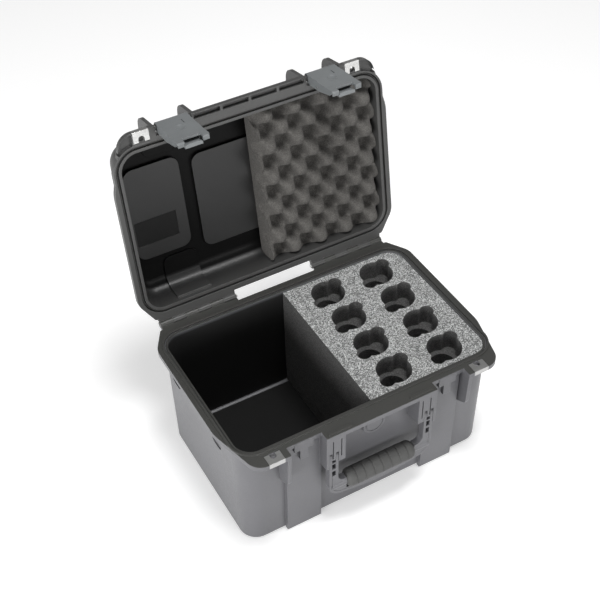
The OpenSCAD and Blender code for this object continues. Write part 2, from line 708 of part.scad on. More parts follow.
module trigger_shape() {
    half = latch_w / 2 - cheek_t - side_gap;
    back = trigger_back;
    front = back - trigger_t;
    foot = latch_foot + 1.5;
    hook_z = latch_z - hook_down;
    difference() {
        union() {
            for (s = [-1, 1]) x_cylinder(trigger_y, trigger_z, 3, s > 0 ? 7 : -half, s > 0 ? half : -7);
            along_y(front, trigger_t) difference() {
                polygon(rounded([[-17, trigger_z, 0], [-17, latch_foot + 22, 4], [-13, latch_foot + 14, 3],
                    [-13, foot, 0], [13, foot, 0], [13, latch_foot + 14, 3], [17, latch_foot + 22, 4],
                    [17, trigger_z, 0]]));
                translate([-6.6, trigger_z - 5]) square([13.2, 6]);
            }
            along_x(16) polygon(rounded([[front + 1, hook_z, 0], [hook_y, hook_z, 0.6],
                [hook_y, hook_z - 2, 0.6], [back - 1, hook_z - 7, 0],
                [front + 1, hook_z - 7, 0]]));
            translate([0, 0, foot]) linear_extrude(2.6)
                polygon(rounded([[-13, back, 0], [-13, latch_face + 6.6, 2], [-6, latch_face + 5, 8],
                    [6, latch_face + 5, 8], [13, latch_face + 6.6, 2], [13, back, 0]]));
        }
        x_cylinder(trigger_y, trigger_z, trigger_pin_r + pin_gap, -half - 1, half + 1);
    }
}

module trigger(x) color(latch_grey) on_latch(x) trigger_shape();

module trigger_pin(x) color(steel) on_latch(x)
    x_cylinder(trigger_y, trigger_z, trigger_pin_r, 0.4 - latch_w / 2, latch_w / 2 - 0.4);

// Torsion spring: close turns around the trigger pin and one leg against the latch
module trigger_spring(x) color(steel) on_latch(x) {
    turns = 5;
    coil_r = trigger_pin_r + 0.3 + wire_d / 2;
    translate([-turns * wire_d / 2, trigger_y, trigger_z]) rotate([0, 90, 0])
        for (i = [0 : turns - 1]) translate([0, 0, (i + 0.5) * wire_d])
            rotate_extrude() translate([coil_r, 0]) circle(d = wire_d * 1.04, $fn = 24);
    translate([(turns - 1) * wire_d / 2, trigger_y - coil_r, trigger_z])
        rotate([16, 0, 0]) cylinder(d = wire_d, h = trigger_down / 2 - 2, $fn = 24);
    translate([(1 - turns) * wire_d / 2, trigger_y + coil_r, trigger_z])
        rotate([177, 0, 0]) cylinder(d = wire_d, h = trigger_down / 5, $fn = 24);
}

// ---- handle ---------------------------------------------------------------
frame_y = handle_y - 8;
handle_foot = handle_z - handle_len;
grip_y = handle_y - 2.6;
grip_z = handle_z - 66;
core_r = core_d / 2;

// Outline of the handle below its pins, an inset in from the edge
function handle_pts(inset) = let (x = arm_out - inset, z = handle_foot + inset)
    [[-x, handle_z, 0], [-x, z + 12, 22 - inset], [0, z - 2, 220], [x, z + 12, 22 - inset], [x, handle_z, 0]];

// Fine line inside the handle's lower corners
module handle_lines() along_y(frame_y - 1, 1.6) difference() {
    polygon(rounded(handle_pts(bar_w), 8));
    polygon(rounded(handle_pts(bar_w + 0.7), 8));
    translate([-46, handle_foot - 10]) square([92, handle_len]);
    translate([-arm_out, handle_z - 39]) square([2 * arm_out, 50]);
}

module handle_frame() color(case_grey) difference() {
    union() {
        along_y(frame_y, frame_t) difference() {
            polygon(rounded(handle_pts(0), 10));
            polygon(rounded([[-bar2[0], handle_z + 1, 0], [-bar2[0], handle_z - 57, 12],
                [bar2[0], handle_z - 57, 12], [bar2[0], handle_z + 1, 0]], 8));
            for (s = [-1, 1], z = [[-10.5, 11], [-26, -0], [-41.5, -15.5]])
                if (z[0] > -40) translate([s * (bar1[0] + bar2[1]) / 2, handle_z + z[0] - 8])
                    square([bar_gap, 11], center = true);
            for (s = [-1, 1]) translate([s * (bar1[0] + bar2[1]) / 2, handle_z - 3])
                square([bar_gap, 15], center = true);
        }
        both() {
            x_cylinder(handle_y, handle_z, 8, bar1[0], bar1[1]);
            x_cylinder(handle_y, handle_z, 8, bar2[0], bar2[1]);
        }
        x_cylinder(grip_y, grip_z, core_r, -bar1[0], bar1[0]);
    }
    handle_lines();
    both() x_cylinder(handle_y, handle_z, handle_pin_r + pin_gap, bar2[0] - 1, bar1[1] + 1);
    // the grip's own space in front of and behind the frame
    difference() {
        x_cylinder(grip_y, grip_z, grip_d / 2 + 0.05, -grip_len / 2 - 0.05, grip_len / 2 + 0.05);
        x_cylinder(grip_y, grip_z, core_r, -grip_len, grip_len);
    }
}

module handle_grip() color(rubber) difference() {
    r = grip_d / 2;
    half = grip_len / 2;
    pitch = grip_len / (grip_grooves + 1);
    translate([0, grip_y, grip_z]) rotate([0, 90, 0]) rotate_extrude()
        difference() {
            polygon(rounded([[0, -half, 0], [r, -half, 9], [r, half, 9], [0, half, 0]], 8));
            for (i = [1 : grip_grooves])
                translate([r + 0.5, i * pitch - half]) circle(1.5, $fn = 24);
        }
    x_cylinder(grip_y, grip_z, core_r + pin_gap, -grip_len, grip_len);
}

module handle_pin(s) color(steel) mirror([s < 0 ? 1 : 0, 0, 0])
    x_cylinder(handle_y, handle_z, handle_pin_r, ribs[2][0] + 2.4, plate_half - 2.4);

// ---- pressure valve -------------------------------------------------------
module pressure_valve() color(case_grey)
    translate([0, valve_seat - 0.05, valve_z]) rotate([90, 0, 0]) difference() {
        union() {
            cylinder(r1 = valve_cap_r, r2 = valve_cap_r - 1, h = 4.2);
            translate([0, 0, -wall - 8.2]) cylinder(r = valve_r, h = wall + 9.2);
        }
        translate([0, 0, 3.2]) difference() {
            cylinder(r = valve_cap_r - 4, h = 2);
            cylinder(r = valve_cap_r - 6, h = 2);
        }
    }

module valve_nut() color("#2b2b2b")
    translate([0, valve_seat + wall + 1.7, valve_z]) rotate([-90, 0, 0]) difference() {
        cylinder(r = valve_r + 5, h = 5, $fn = 6);
        translate([0, 0, -1]) cylinder(r = valve_r + pin_gap, h = 7);
    }

// ---- foam -----------------------------------------------------------------
foam_x1 = w2 - foam_gap;
foam_top = base_h - foam_down;
foam_mid = (foam_x0 + foam_x1) / 2;
mic_places = [for (x = [-1, 1], y = [-1.5 : 1 : 1.5]) [foam_mid + 2 + x * mic_dx / 2, y * mic_dy]];

// A slice of the foam block between two heights, fitted to the drafted walls and the valve's nut
module foam_slice(z0, z1) difference() {
    intersection() {
        drafted_box(-foam_gap, wall + foam_gap / 2, floor_r);
        translate([foam_x0, -d2, z0]) cube([w2, 2 * d2, z1 - z0]);
    }
    translate([0, -d2 - 1, valve_z]) rotate([-90, 0, 0]) cylinder(r = valve_r + 6.5, h = 10.5);
}

module foam_head_layer() color(foam_grey) difference() {
    foam_slice(foam_top - head_layer, foam_top);
    for (p = mic_places) translate([p.x, p.y, foam_top - head_layer - 1]) {
        cylinder(r = head_r, h = head_layer + 2);
        rotate([0, 0, slot_turn]) linear_extrude(head_layer + 2) {
            square([slot_len - 2 * slot_half, 2 * slot_half], center = true);
            for (s = [-1, 1]) translate([s * (slot_len / 2 - slot_half), 0]) circle(slot_half);
        }
    }
}

module foam_body_layer() color(foam_grey) difference() {
    foam_slice(wall + foot_layer, foam_top - head_layer);
    for (p = mic_places) translate([p.x, p.y, wall]) cylinder(r = body_r, h = base_h);
}

module foam_foot_layer() color(foam_grey) foam_slice(wall + foam_gap / 2, wall + foot_layer);

// Convoluted sheet in the lid, with staggered peaks
module lid_foam() color("#55524e") on_lid() {
    z1 = lid_z + lid_depth - panel_t - 0.3;
    x1 = w2 - foam_gap;
    y1 = d2 - foam_gap;
    peak_z = z1 - egg_base;
    intersection() {
        union() {
            translate([lid_foam_x0, -y1, peak_z]) cube([x1 - lid_foam_x0, 2 * y1, egg_base]);
            for (i = [0 : 8], j = [-3 : 2])
                translate([lid_foam_x0 - 3 + i * egg_dx, egg_y0 + (j + (i % 2) / 2) * egg_dy, peak_z - egg_h])
                    cylinder(r1 = 5, r2 = 14, h = egg_h + 1, $fn = 32);
        }
        tray(-foam_gap, lid_depth - foam_gap, inner_crown);
        translate([lid_foam_x0, -y1, lid_z]) cube([x1 - lid_foam_x0, 2 * y1, lid_depth]);
    }
}

base_shell();
lid_shell();
lid_seal();
hinge_pin(-1);  // hinge_pin_left
hinge_pin(1);  // hinge_pin_right
hasp(-1, base_h - flange_t, base_h);  // base_hasp_left
hasp(1, base_h - flange_t, base_h);  // base_hasp_right
on_lid() hasp(-1, lid_z, lid_z + flange_t);  // lid_hasp_left
on_lid() hasp(1, lid_z, lid_z + flange_t);  // lid_hasp_right
latch(-latch_x);  // latch_left
latch(latch_x);  // latch_right
latch_pin(-1);  // latch_pin_left
latch_pin(1);  // latch_pin_right
trigger(-latch_x);  // trigger_left
trigger(latch_x);  // trigger_right
trigger_pin(-latch_x);  // trigger_pin_left
trigger_pin(latch_x);  // trigger_pin_right
trigger_spring(-latch_x);  // trigger_spring_left
trigger_spring(latch_x);  // trigger_spring_right
handle_frame();
handle_grip();
handle_pin(-1);  // handle_pin_left
handle_pin(1);  // handle_pin_right
pressure_valve();
valve_nut();
foam_head_layer();
foam_body_layer();
foam_foot_layer();
lid_foam();
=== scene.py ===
import json
import math

import bmesh
import bpy
from mathutils import Matrix, Vector


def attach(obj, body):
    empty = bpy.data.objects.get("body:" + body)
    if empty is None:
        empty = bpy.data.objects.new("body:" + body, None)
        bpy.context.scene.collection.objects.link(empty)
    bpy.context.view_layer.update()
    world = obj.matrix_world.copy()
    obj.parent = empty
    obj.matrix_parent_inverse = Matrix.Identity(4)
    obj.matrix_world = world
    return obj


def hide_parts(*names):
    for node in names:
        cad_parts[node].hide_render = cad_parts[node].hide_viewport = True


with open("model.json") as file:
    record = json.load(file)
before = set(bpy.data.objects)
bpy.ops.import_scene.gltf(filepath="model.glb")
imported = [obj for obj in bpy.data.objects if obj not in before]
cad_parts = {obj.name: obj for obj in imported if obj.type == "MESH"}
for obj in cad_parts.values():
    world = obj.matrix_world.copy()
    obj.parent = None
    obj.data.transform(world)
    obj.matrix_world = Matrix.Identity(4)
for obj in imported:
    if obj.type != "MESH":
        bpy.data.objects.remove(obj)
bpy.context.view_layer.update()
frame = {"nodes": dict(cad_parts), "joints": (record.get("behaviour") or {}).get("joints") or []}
nodes = frame["nodes"]
scene = bpy.context.scene
print("frame loaded:", len(nodes), "nodes")

# the lid is drawn closed and turned to where it stands open
hinge = next(j for j in frame["joints"] if j["name"] == "lid_hinge")
hingePoint = Vector(hinge["pos_m"])
lidTurn = (Matrix.Translation(hingePoint)
           @ Matrix.Rotation(-math.radians(hinge["range_deg"][1]), 4, "X")
           @ Matrix.Translation(-hingePoint))
lidBack = lidTurn.inverted()


# small helpers
def addNode(tree, kind, x=0, y=0, values=None, **settings):
    made = tree.nodes.new(kind)
    made.location = (x, y)
    for name, value in settings.items():
        setattr(made, name, value)
    for socket, value in (values or {}).items():
        made.inputs[socket].default_value = value
    return made


def joinUp(tree, *pairs):
    for source, target in pairs:
        tree.links.new(source, target)


def reckon(tree, operation, x, y, *terms):  # one sum, of sockets and plain numbers
    made = addNode(tree, "ShaderNodeMath", x, y, operation=operation)
    for slot, term in enumerate(terms):
        if isinstance(term, (int, float)):
            made.inputs[slot].default_value = term
        else:
            tree.links.new(term, made.inputs[slot])
    return made.outputs["Value"]


def startGroup(name, inputs, outputs):
    tree = bpy.data.node_groups.new(name, "ShaderNodeTree")
    for way, sockets in (("INPUT", inputs), ("OUTPUT", outputs)):
        for label, kind in sockets.items():
            tree.interface.new_socket(label, in_out=way, socket_type="NodeSocket" + kind)
    return tree, addNode(tree, "NodeGroupInput", -900), addNode(tree, "NodeGroupOutput", 900)


def placeGroup(tree, group, x, y, values):
    return addNode(tree, "ShaderNodeGroup", x, y, values, node_tree=group)


def startMaterial(name, values=None):
    material = bpy.data.materials.new(name)
    material.use_nodes = True
    tree = material.node_tree
    shader = tree.nodes["Principled BSDF"]
    shader.location = (600, 0)
    for socket, value in (values or {}).items():
        shader.inputs[socket].default_value = value
    tree.nodes["Material Output"].location = (900, 0)
    return material, tree, shader


def dress(material, *names):
    for name in names:
        mesh = nodes[name].data
        mesh.materials.clear()
        mesh.materials.append(material)


def addPiece(name, shape):
    mesh = bpy.data.meshes.new(name)
    shape.to_mesh(mesh)
    shape.free()
    piece = bpy.data.objects.new(name, mesh)
    scene.collection.objects.link(piece)
    return piece


def smoothFaces(mesh, sharp):
    for face in mesh.polygons:
        face.use_smooth = True
    mesh.set_sharp_from_angle(angle=math.radians(sharp))


# effects that several finishes share
mouldTexture = {"grain": {"Detail": 3, "Roughness": 0.62}, "tone": {"Detail": 4},
                "gloss": {"Scale": 160, "Detail": 3}, "spread": {"From Min": 0.3, "From Max": 0.7}}


def makeMouldedGrain():  # the fine sparked texture of a moulding tool, and slow changes of tone
    tree, given, out = startGroup("mouldedGrain", {"Grain": "Float", "Patches": "Float"},
                                  {"Height": "Float", "Tone": "Float", "Gloss": "Float"})
    place = addNode(tree, "ShaderNodeTexCoord", -700)
    grain = addNode(tree, "ShaderNodeTexNoise", -400, 200, mouldTexture["grain"])
    tone = addNode(tree, "ShaderNodeTexNoise", -400, -100, mouldTexture["tone"])
    gloss = addNode(tree, "ShaderNodeTexNoise", -400, -400, mouldTexture["gloss"])
    spread = addNode(tree, "ShaderNodeMapRange", 100, -100, mouldTexture["spread"])
    joinUp(tree, (place.outputs["Object"], grain.inputs["Vector"]),
           (place.outputs["Object"], tone.inputs["Vector"]),
           (place.outputs["Object"], gloss.inputs["Vector"]),
           (given.outputs["Grain"], grain.inputs["Scale"]),
           (given.outputs["Patches"], tone.inputs["Scale"]), (grain.outputs["Fac"], out.inputs["Height"]),
           (tone.outputs["Fac"], spread.inputs["Value"]), (spread.outputs["Result"], out.inputs["Tone"]),
           (gloss.outputs["Fac"], out.inputs["Gloss"]))
    return tree


# how sharp a bend gets the painted highlight on edges, and how patchy it is
edgeRoundingAndHighlight = {"samples": 6, "bend": {"From Min": 0.995, "From Max": 0.86}, "patches": {"Scale": 60, "Detail": 5},
        "spread": {"From Min": 0.35, "From Max": 0.65, "To Min": 0.35}}


def makeSoftEdge():  # rounds the look of an edge, and gives a patchy mask for a painted highlight on it
    tree, given, out = startGroup("softEdge", {"Radius": "Float"}, {"Edge Highlight": "Float", "Normal": "Vector"})
    rounded = addNode(tree, "ShaderNodeBevel", -500, 100, samples=edgeRoundingAndHighlight["samples"])
    flat = addNode(tree, "ShaderNodeNewGeometry", -500, -100)
    turn = addNode(tree, "ShaderNodeVectorMath", -250, 0, operation="DOT_PRODUCT")
    edgeHighlight = addNode(tree, "ShaderNodeMapRange", 0, 0, edgeRoundingAndHighlight["bend"])
    place = addNode(tree, "ShaderNodeTexCoord", -500, -350)
    patchy = addNode(tree, "ShaderNodeTexNoise", -250, -350, edgeRoundingAndHighlight["patches"])
    some = addNode(tree, "ShaderNodeMapRange", 0, -350, edgeRoundingAndHighlight["spread"])
    highlighted = reckon(tree, "MULTIPLY", 300, -100, edgeHighlight.outputs["Result"], some.outputs["Result"])
    joinUp(tree, (given.outputs["Radius"], rounded.inputs["Radius"]),
           (rounded.outputs["Normal"], turn.inputs[0]), (flat.outputs["Normal"], turn.inputs[1]),
           (turn.outputs["Value"], edgeHighlight.inputs["Value"]),
           (place.outputs["Object"], patchy.inputs["Vector"]),
           (patchy.outputs["Fac"], some.inputs["Value"]), (highlighted, out.inputs["Edge Highlight"]),
           (rounded.outputs["Normal"], out.inputs["Normal"]))
    return tree


cellTexture = {"wobble": {"Scale": 700}, "shift": {1: (0.0012, 0.0012, 0.0012)},
               "fine": {"Detail": 4, "Roughness": 0.7}, "slow": {"Scale": 22, "Detail": 3},
               "cellShare": 0.55, "fineShare": 0.45}


def makeFoamCells():  # light and dark flecks of cut cells, with their pits
    tree, given, out = startGroup("foamCells", {"Cells": "Float", "Fine Cells": "Float"},
                                  {"Flecks": "Float", "Tone": "Float", "Height": "Float"})
    place = addNode(tree, "ShaderNodeTexCoord", -800)
    wobble = addNode(tree, "ShaderNodeTexNoise", -620, -200, cellTexture["wobble"])
    shift = addNode(tree, "ShaderNodeVectorMath", -440, -100, cellTexture["shift"], operation="MULTIPLY_ADD")
    cells = addNode(tree, "ShaderNodeTexVoronoi", -200, 200)
    tint = addNode(tree, "ShaderNodeSeparateColor", 0, 200)
    fine = addNode(tree, "ShaderNodeTexNoise", -200, -120, cellTexture["fine"])
    slow = addNode(tree, "ShaderNodeTexNoise", -200, -420, cellTexture["slow"])
    fineFlecks = reckon(tree, "MULTIPLY", 20, -60, fine.outputs["Fac"], cellTexture["fineShare"])
    flecks = reckon(tree, "MULTIPLY_ADD", 220, 100, tint.outputs["Red"], cellTexture["cellShare"], fineFlecks)
    pits = reckon(tree, "SUBTRACT", 420, -200, fine.outputs["Fac"], cells.outputs["Distance"])
    joinUp(tree, (place.outputs["Object"], wobble.inputs["Vector"]),
           (wobble.outputs["Color"], shift.inputs[0]), (place.outputs["Object"], shift.inputs[2]),
           (shift.outputs["Vector"], cells.inputs["Vector"]),
           (given.outputs["Cells"], cells.inputs["Scale"]), (cells.outputs["Color"], tint.inputs["Color"]),
           (place.outputs["Object"], fine.inputs["Vector"]),
           (given.outputs["Fine Cells"], fine.inputs["Scale"]),
           (place.outputs["Object"], slow.inputs["Vector"]), (slow.outputs["Fac"], out.inputs["Tone"]),
           (flecks, out.inputs["Flecks"]), (pits, out.inputs["Height"]))
    return tree


brushing = {"stretch": {"Scale": (0.04, 1, 1)}, "lines": {"Detail": 4}}


def makeBrushed():  # fine lines along X, as drawn or pressed metal has
    tree, given, out = startGroup("brushedLines", {"Lines": "Float"}, {"Height": "Float", "Gloss": "Float"})
    place = addNode(tree, "ShaderNodeTexCoord", -700)
    stretch = addNode(tree, "ShaderNodeMapping", -500, 0, brushing["stretch"])
    lines = addNode(tree, "ShaderNodeTexNoise", -250, 0, brushing["lines"])
    joinUp(tree, (place.outputs["Object"], stretch.inputs["Vector"]),
           (stretch.outputs["Vector"], lines.inputs["Vector"]),
           (given.outputs["Lines"], lines.inputs["Scale"]), (lines.outputs["Fac"], out.inputs["Height"]),
           (lines.outputs["Fac"], out.inputs["Gloss"]))
    return tree


# a mask for painted shade within a moulding: 1 between the middles of its walls, fading in below their rim,
# and the same for the deep part
def makeHollow():
    sockets = {"Turn": "Vector", "Shift": "Vector", "Half X": "Float", "Half Y": "Float", "Corner": "Float",
               "Draft": "Float", "Straight": "Float", "Squash": "Float", "Mouth": "Float", "Fade": "Float",
               "End": "Float", "Deep": "Float"}
    tree, given, out = startGroup("hollowShadeMask", sockets, {"Inside": "Float", "Deeper": "Float"})
    place = addNode(tree, "ShaderNodeTexCoord", -700)
    turned = addNode(tree, "ShaderNodeVectorRotate", -500, rotation_type="EULER_XYZ")
    moved = addNode(tree, "ShaderNodeVectorMath", -350, operation="ADD")
    parts = addNode(tree, "ShaderNodeSeparateXYZ", -200)
    joinUp(tree, (place.outputs["Object"], turned.inputs["Vector"]),
           (given.outputs["Turn"], turned.inputs["Rotation"]), (turned.outputs["Vector"], moved.inputs[0]),
           (given.outputs["Shift"], moved.inputs[1]), (moved.outputs["Vector"], parts.inputs["Vector"]))
    height = parts.outputs["Z"]
    fromMouth = reckon(tree, "SUBTRACT", 0, 500, given.outputs["Mouth"], height)
    depth = reckon(tree, "ABSOLUTE", 150, 500, fromMouth)
    inward = reckon(tree, "MULTIPLY", 300, 500, depth, given.outputs["Draft"])
    past = addNode(tree, "ShaderNodeCombineXYZ", 750, 200)  # how far past the straight part of each wall
    for row, axis in enumerate("XY"):
        y = 200 - 150 * row
        far = reckon(tree, "ABSOLUTE", 0, y, parts.outputs[axis])
        straight = reckon(tree, "SUBTRACT", 150, y, given.outputs["Half " + axis], given.outputs["Corner"])
        beyond = reckon(tree, "SUBTRACT", 300, y, far, straight)
        drafted = reckon(tree, "ADD", 450, y, beyond, inward)
        joinUp(tree, (reckon(tree, "MAXIMUM", 600, y, drafted, 0), past.inputs[axis]))
    lower = reckon(tree, "SUBTRACT", 300, 700, depth, given.outputs["Straight"])
    rounded = reckon(tree, "MULTIPLY", 450, 700, lower, given.outputs["Squash"])
    distance = addNode(tree, "ShaderNodeVectorMath", 900, 200, operation="LENGTH")
    joinUp(tree, (reckon(tree, "MAXIMUM", 600, 700, rounded, 0), past.inputs["Z"]),
           (past.outputs["Vector"], distance.inputs[0]))
    within = reckon(tree, "LESS_THAN", 1050, 200, distance.outputs["Value"], given.outputs["Corner"])
    below = reckon(tree, "LESS_THAN", 150, -300, height, given.outputs["End"])
    for row, (label, low, high) in enumerate((("Inside", "Mouth", "Fade"), ("Deeper", "Fade", "Deep"))):
        ramp = addNode(tree, "ShaderNodeMapRange", 150, -150 - 250 * row)
        part = reckon(tree, "MULTIPLY", 450, -100 - 150 * row, ramp.outputs["Result"], below)
        whole = reckon(tree, "MULTIPLY", 600, -100 - 150 * row, within, part)
        joinUp(tree, (height, ramp.inputs["Value"]), (given.outputs[low], ramp.inputs["From Min"]),
               (given.outputs[high], ramp.inputs["From Max"]), (whole, out.inputs[label]))
    return tree


mouldedGrain = makeMouldedGrain()
softEdge = makeSoftEdge()
foamCells = makeFoamCells()
brushedLines = makeBrushed()
hollowShadeMask = makeHollow()
print("shared effects made")


# the finishes
def blend(tree, x, y, **colours):  # a colour mix, of sockets and plain colours
    made = addNode(tree, "ShaderNodeMix", x, y, data_type="RGBA")
    for name, colour in colours.items():
        if isinstance(colour, tuple):
            made.inputs[name].default_value = (*colour, 1)
        else:
            tree.links.new(colour, made.inputs[name])
    return made.outputs["Result"]


def spreadGloss(tree, x, y, look):
    low, high = look["roughness"]
    return addNode(tree, "ShaderNodeMapRange", x, y, {"To Min": low, "To Max": high})


def makePlastic(name, look):
    material, tree, shader = startMaterial(name, {"IOR": look["ior"]})
    grain = placeGroup(tree, mouldedGrain, -700, 100, {"Grain": look["grain"], "Patches": look["patches"]})
    edge = placeGroup(tree, softEdge, -700, -250, {"Radius": look["edgeRadius"]})
    tone = blend(tree, -350, 250, A=look["dark"], B=look["light"], Factor=grain.outputs["Tone"])
    # painted highlight: the edges lighter, in patches
    colour = blend(tree, 0, 250, A=tone, B=look["edgeHighlight"], Factor=edge.outputs["Edge Highlight"])
    gloss = spreadGloss(tree, -100, 0, look)
    bump = addNode(tree, "ShaderNodeBump", 200, -250, {"Strength": look["depth"], "Distance": grainDepth})
    joinUp(tree, (grain.outputs["Gloss"], gloss.inputs["Value"]),
           (gloss.outputs["Result"], shader.inputs["Roughness"]),
           (grain.outputs["Height"], bump.inputs["Height"]),
           (edge.outputs["Normal"], bump.inputs["Normal"]),
           (bump.outputs["Normal"], shader.inputs["Normal"]))
    if "rim" in look:  # painted shade: the flat top is darker
        place = addNode(tree, "ShaderNodeTexCoord", -700, 900)
        height = addNode(tree, "ShaderNodeSeparateXYZ", -500, 900)
        low, high = look["rimShadeFade"]
        top = addNode(tree, "ShaderNodeMapRange", -300, 900, {"From Min": low, "From Max": high})
        joinUp(tree, (place.outputs["Object"], height.inputs["Vector"]),
               (height.outputs["Z"], top.inputs["Value"]))
        colour = blend(tree, 0, 700, A=colour, B=look["rim"], Factor=top.outputs["Result"])
    if "inside" in look:  # painted shade too: darker between the walls, darker still and less shiny deep down
        space = placeGroup(tree, hollowShadeMask, -700, 500, look["space"])
        colour = blend(tree, 200, 400, A=colour, B=look["inside"], Factor=space.outputs["Inside"])
        colour = blend(tree, 380, 400, A=colour, B=look["deepShade"], Factor=space.outputs["Deeper"])
        # less shine deep down, for the painted shade
        deepShineShade = addNode(tree, "ShaderNodeMapRange", 200, 700,
                       {"To Min": look["shine"], "To Max": look["innerShine"]})
        joinUp(tree, (space.outputs["Deeper"], deepShineShade.inputs["Value"]),
               (deepShineShade.outputs["Result"], shader.inputs["Specular IOR Level"]))
    joinUp(tree, (colour, shader.inputs["Base Color"]))
    return material


grainDepth = 0.0003
# the spaces are in metres with the lid closed, to the middle of the wall; the rim colour and the two colours
# within the walls are painted shade, and the edge colour is a painted highlight
caseLook = {"dark": (0.098, 0.098, 0.105), "light": (0.114, 0.114, 0.122), "edgeHighlight": (0.17, 0.17, 0.178),
            "grain": 2600, "patches": 9, "roughness": (0.34, 0.46), "depth": 0.22, "edgeRadius": 0.0009,
            "ior": 1.5, "rim": (0.04, 0.04, 0.037), "rimShadeFade": (0.199, 0.1997),
            "inside": (0.018, 0.018, 0.018), "deepShade": (0.01, 0.01, 0.01), "shine": 0.5, "innerShine": 0.25,
            "space": {"Half X": 0.2062, "Half Y": 0.1302, "Corner": 0.0277, "Draft": 0.017,
                      "Straight": 0.19, "Squash": 3.5, "Mouth": 0.1992, "Fade": 0.193, "End": 0.1995,
                      "Deep": 0.15}}
# the lid is the case's plastic, here painted darker all over as shade; its edge colour is a painted highlight
# and the colours within its walls painted shade
shadedLidLook = {"dark": (0.045, 0.045, 0.044), "light": (0.055, 0.055, 0.054), "edgeHighlight": (0.1, 0.1, 0.1),
           "grain": 2200, "patches": 7, "roughness": (0.3, 0.42), "depth": 0.16, "edgeRadius": 0.0009,
           "ior": 1.46, "inside": (0.015, 0.015, 0.015), "deepShade": (0.003, 0.003, 0.003), "shine": 0.5,
           "innerShine": 0.1,
           "space": {"Turn": lidBack.to_euler(), "Shift": lidBack.translation, "Half X": 0.2062,
                     "Half Y": 0.1302, "Corner": 0.0277, "Straight": 0.0285, "Squash": 1.18,
                     "Mouth": 0.2015, "Fade": 0.2452, "End": 0.2525, "Deep": 0.2475}}
# in these looks too, the edge colour is a painted highlight
latchLook = {"dark": (0.14, 0.149, 0.153), "light": (0.16, 0.17, 0.174), "edgeHighlight": (0.26, 0.27, 0.275),
             "grain": 3200, "patches": 30, "roughness": (0.3, 0.4), "depth": 0.1, "edgeRadius": 0.0003,
             "ior": 1.5}
gripLook = {"dark": (0.05, 0.05, 0.049), "light": (0.066, 0.066, 0.064), "edgeHighlight": (0.075, 0.075, 0.073),
            "grain": 1800, "patches": 40, "roughness": (0.55, 0.72), "depth": 0.45, "edgeRadius": 0.0008,
            "ior": 1.45}
sealLook = {"dark": (0.02, 0.02, 0.019), "light": (0.03, 0.03, 0.028), "edgeHighlight": (0.05, 0.05, 0.048),
            "grain": 3000, "patches": 60, "roughness": (0.42, 0.56), "depth": 0.15, "edgeRadius": 0.0004,
            "ior": 1.41}
nutLook = {"dark": (0.02, 0.02, 0.02), "light": (0.028, 0.028, 0.028), "edgeHighlight": (0.06, 0.06, 0.06),
           "grain": 3000, "patches": 60, "roughness": (0.4, 0.5), "depth": 0.12, "edgeRadius": 0.0005,
           "ior": 1.5}


def makeSteel(name, look):
    material, tree, shader = startMaterial(name, {"Metallic": 1})
    brushed = placeGroup(tree, brushedLines, -700, 0, {"Lines": look["lines"]})
    edge = placeGroup(tree, softEdge, -700, -300, {"Radius": steelFinish["edgeRadius"]})
    colour = blend(tree, -200, 200, A=look["dark"], B=look["light"], Factor=brushed.outputs["Gloss"])
    gloss = spreadGloss(tree, -200, -50, look)
    bump = addNode(tree, "ShaderNodeBump", 200, -250, steelFinish["bump"])
    joinUp(tree, (colour, shader.inputs["Base Color"]), (brushed.outputs["Gloss"], gloss.inputs["Value"]),
           (gloss.outputs["Result"], shader.inputs["Roughness"]),
           (brushed.outputs["Height"], bump.inputs["Height"]),
           (edge.outputs["Normal"], bump.inputs["Normal"]),
           (bump.outputs["Normal"], shader.inputs["Normal"]))
    return material


steelFinish = {"edgeRadius": 0.0004, "bump": {"Strength": 0.12, "Distance": 0.0002}}
haspLook = {"dark": (0.4, 0.4, 0.395), "light": (0.56, 0.56, 0.55), "lines": 700, "roughness": (0.24, 0.36)}
pinLook = {"dark": (0.5, 0.5, 0.49), "light": (0.66, 0.66, 0.65), "lines": 1100, "roughness": (0.25, 0.4)}


def makeFoam(name, look):
    material, tree, shader = startMaterial(name, {**foamFinish, "Sheen Weight": look["sheen"]})
    cells = placeGroup(tree, foamCells, -800, 0, {"Cells": look["cells"], "Fine Cells": look["fineCells"]})
    ramp = addNode(tree, "ShaderNodeValToRGB", -450, 200)
    stops = ramp.color_ramp.elements
    for spot in look["stops"][1:-1]:
        stops.new(spot)
    for stop, spot, colour in zip(stops, look["stops"], look["colours"]):
        stop.position = spot
        stop.color = (*colour, 1)
    shade = addNode(tree, "ShaderNodeMapRange", -450, -100,
                    {"To Min": 1 - look["unevenness"], "To Max": 1 + look["unevenness"]})
    toned = addNode(tree, "ShaderNodeVectorMath", -100, 100, operation="SCALE")
    bump = addNode(tree, "ShaderNodeBump", 200, -250,
                   {"Strength": look["depth"], "Distance": look["pitDepth"]})
    joinUp(tree, (cells.outputs["Flecks"], ramp.inputs["Fac"]),
           (cells.outputs["Tone"], shade.inputs["Value"]), (ramp.outputs["Color"], toned.inputs[0]),
           (shade.outputs["Result"], toned.inputs["Scale"]),
           (toned.outputs["Vector"], shader.inputs["Base Color"]),
           (cells.outputs["Height"], bump.inputs["Height"]),
           (bump.outputs["Normal"], shader.inputs["Normal"]))
    return material


foamFinish = {"Roughness": 0.95, "Specular IOR Level": 0.25, "Sheen Roughness": 0.5}
blockFoamLook = {"cells": 760, "fineCells": 1500, "stops": (0.2, 0.4, 0.58, 0.8),
                 "colours": ((0.06, 0.061, 0.06), (0.17, 0.173, 0.171), (0.31, 0.315, 0.312),
                             (0.68, 0.69, 0.685)), "unevenness": 0.12, "depth": 0.6, "pitDepth": 0.0006,
                 "sheen": 0.03}
